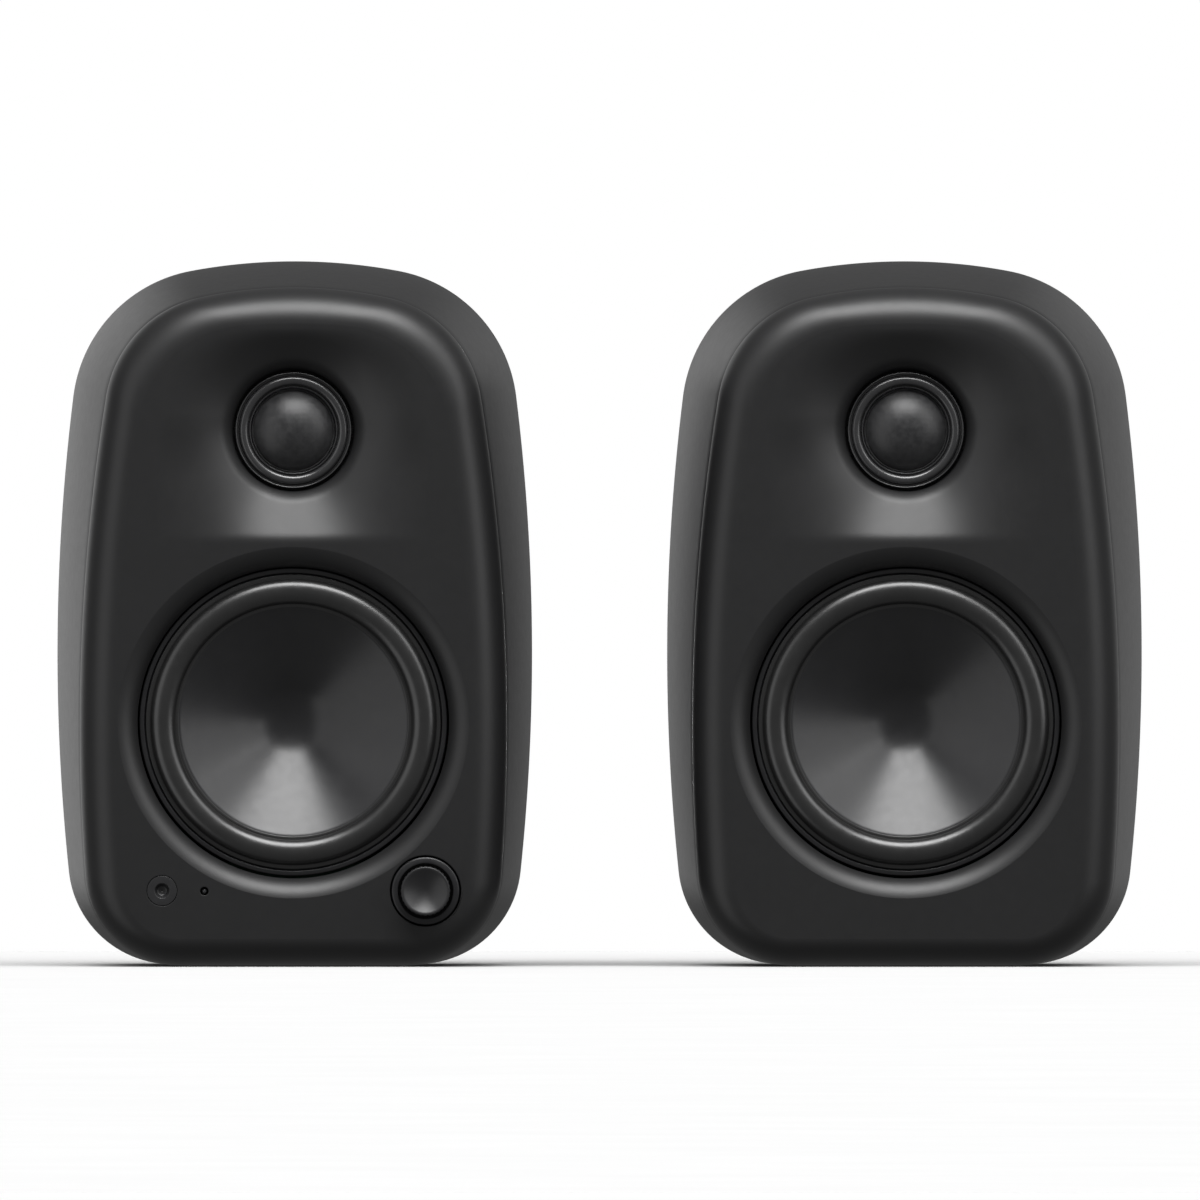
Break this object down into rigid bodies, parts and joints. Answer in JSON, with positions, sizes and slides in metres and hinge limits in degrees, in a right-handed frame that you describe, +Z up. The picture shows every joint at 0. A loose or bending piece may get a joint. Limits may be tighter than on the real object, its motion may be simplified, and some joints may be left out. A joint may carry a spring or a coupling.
{
  "type": "desktop speakers",
  "caption": "Pair of two-way desktop speakers with flared cabinets, concave woofer cones, dome tweeters in shallow dishes, and a volume knob on the left one.",
  "frame": {"origin": "centre of the pair's bounding box, on the surface that both speakers stand on", "axes": "+X from the left speaker to the right one as seen from the front, +Y from the fronts to the backs, +Z up"},
  "size_m": [0.2718, 0.13, 0.1764],
  "materials": {
    "cabinet_plastic": "moulded black plastic with a very fine matt texture",
    "panel_plastic": "moulded black plastic, slightly coarser texture",
    "trim_plastic": "smooth satin black plastic",
    "tweeter_trim": "smooth semi-gloss black plastic",
    "knob_plastic": "satin black plastic",
    "pad_rubber": "matt rubber",
    "surround_rubber": "satin butyl rubber",
    "cone_sheet": "satin coated sheet",
    "dome_silk": "coated silk, fine weave",
    "coil_copper": "enamelled copper winding",
    "spider_cloth": "resin-dipped cotton",
    "motor_steel": "zinc-plated steel",
    "ferrite": "sintered ferrite, dark grey",
    "circuit_board": "green solder mask",
    "alloy": "extruded aluminium",
    "socket_metal": "nickel-plated brass",
    "wire_sleeve": "PVC sleeve",
    "light_pipe": "clear acrylic rod, unlit"
  },
  "bodies": {
    "left_speaker": {"left_front_baffle": "cabinet_plastic", "left_cabinet_shell": "cabinet_plastic", "left_rear_panel": "panel_plastic", "left_base_pad": "pad_rubber", "left_bass_port": "trim_plastic", "left_woofer_basket": "trim_plastic", "left_woofer_surround": "surround_rubber", "left_woofer_spider": "spider_cloth", "left_woofer_top_plate": "motor_steel", "left_woofer_magnet": "ferrite", "left_woofer_yoke": "motor_steel", "left_tweeter_faceplate": "tweeter_trim", "left_tweeter_motor": "motor_steel", "left_crossover_board": "circuit_board", "left_woofer_lead": "wire_sleeve", "left_tweeter_lead": "wire_sleeve", "left_link_socket": "socket_metal", "left_knob_bezel": "trim_plastic", "left_encoder_body": "trim_plastic", "left_headphone_jack": "trim_plastic", "left_led_light_pipe": "light_pipe", "left_control_board": "circuit_board", "left_amp_board": "circuit_board", "left_heatsink": "alloy", "left_psu_board": "circuit_board", "left_rocker_housing": "trim_plastic", "left_rocker_pin": "motor_steel", "left_mains_inlet": "trim_plastic", "left_phono_socket_a": "socket_metal", "left_phono_socket_b": "socket_metal", "left_aux_socket": "trim_plastic", "left_control_lead": "wire_sleeve", "left_mains_lead": "wire_sleeve"},
    "right_speaker": {"right_front_baffle": "cabinet_plastic", "right_cabinet_shell": "cabinet_plastic", "right_rear_panel": "panel_plastic", "right_base_pad": "pad_rubber", "right_bass_port": "trim_plastic", "right_woofer_basket": "trim_plastic", "right_woofer_surround": "surround_rubber", "right_woofer_spider": "spider_cloth", "right_woofer_top_plate": "motor_steel", "right_woofer_magnet": "ferrite", "right_woofer_yoke": "motor_steel", "right_tweeter_faceplate": "tweeter_trim", "right_tweeter_motor": "motor_steel", "right_crossover_board": "circuit_board", "right_woofer_lead": "wire_sleeve", "right_tweeter_lead": "wire_sleeve", "right_link_socket": "socket_metal"},
    "left_woofer_cone": {"left_woofer_cone": "cone_sheet", "left_woofer_voice_coil": "coil_copper"},
    "right_woofer_cone": {"right_woofer_cone": "cone_sheet", "right_woofer_voice_coil": "coil_copper"},
    "left_tweeter_dome": {"left_tweeter_dome": "dome_silk"},
    "right_tweeter_dome": {"right_tweeter_dome": "dome_silk"},
    "encoder_rotor": {"left_encoder_rotor": "alloy"},
    "volume_knob": {"left_volume_knob": "knob_plastic", "left_encoder_shaft": "alloy"},
    "power_rocker": {"left_power_rocker": "knob_plastic"}
  },
  "joints": [
    {"name": "right_speaker_place", "type": "slide", "parent": "left_speaker", "child": "right_speaker", "axis": [1, 0, 0], "range_m": [0, 0.3]},
    {"name": "left_woofer_stroke", "type": "slide", "parent": "left_speaker", "child": "left_woofer_cone", "axis": [0, -1, 0], "range_m": [-0.003, 0.003], "stiffness_N_per_m": 1500, "deforming": ["left_woofer_surround", "left_woofer_spider"]},
    {"name": "left_tweeter_stroke", "type": "slide", "parent": "left_speaker", "child": "left_tweeter_dome", "axis": [0, -1, 0], "range_m": [-0.0003, 0.0003], "stiffness_N_per_m": 2500},
    {"name": "right_woofer_stroke", "type": "slide", "parent": "right_speaker", "child": "right_woofer_cone", "axis": [0, -1, 0], "range_m": [-0.003, 0.003], "stiffness_N_per_m": 1500, "deforming": ["right_woofer_surround", "right_woofer_spider"]},
    {"name": "right_tweeter_stroke", "type": "slide", "parent": "right_speaker", "child": "right_tweeter_dome", "axis": [0, -1, 0], "range_m": [-0.0003, 0.0003], "stiffness_N_per_m": 2500},
    {"name": "volume_turn", "type": "hinge", "parent": "left_speaker", "child": "encoder_rotor", "pos_m": [-0.0434, -0.0494, 0.01895], "axis": [0, -1, 0], "continuous": true},
    {"name": "volume_push", "type": "slide", "parent": "encoder_rotor", "child": "volume_knob", "axis": [0, 1, 0], "range_m": [0, 0.0005], "stiffness_N_per_m": 5000},
    {"name": "power_rock", "type": "hinge", "parent": "left_speaker", "child": "power_rocker", "pos_m": [-0.0544, 0.054, 0.031], "axis": [1, 0, 0], "range_deg": [0, 18]}
  ]
}
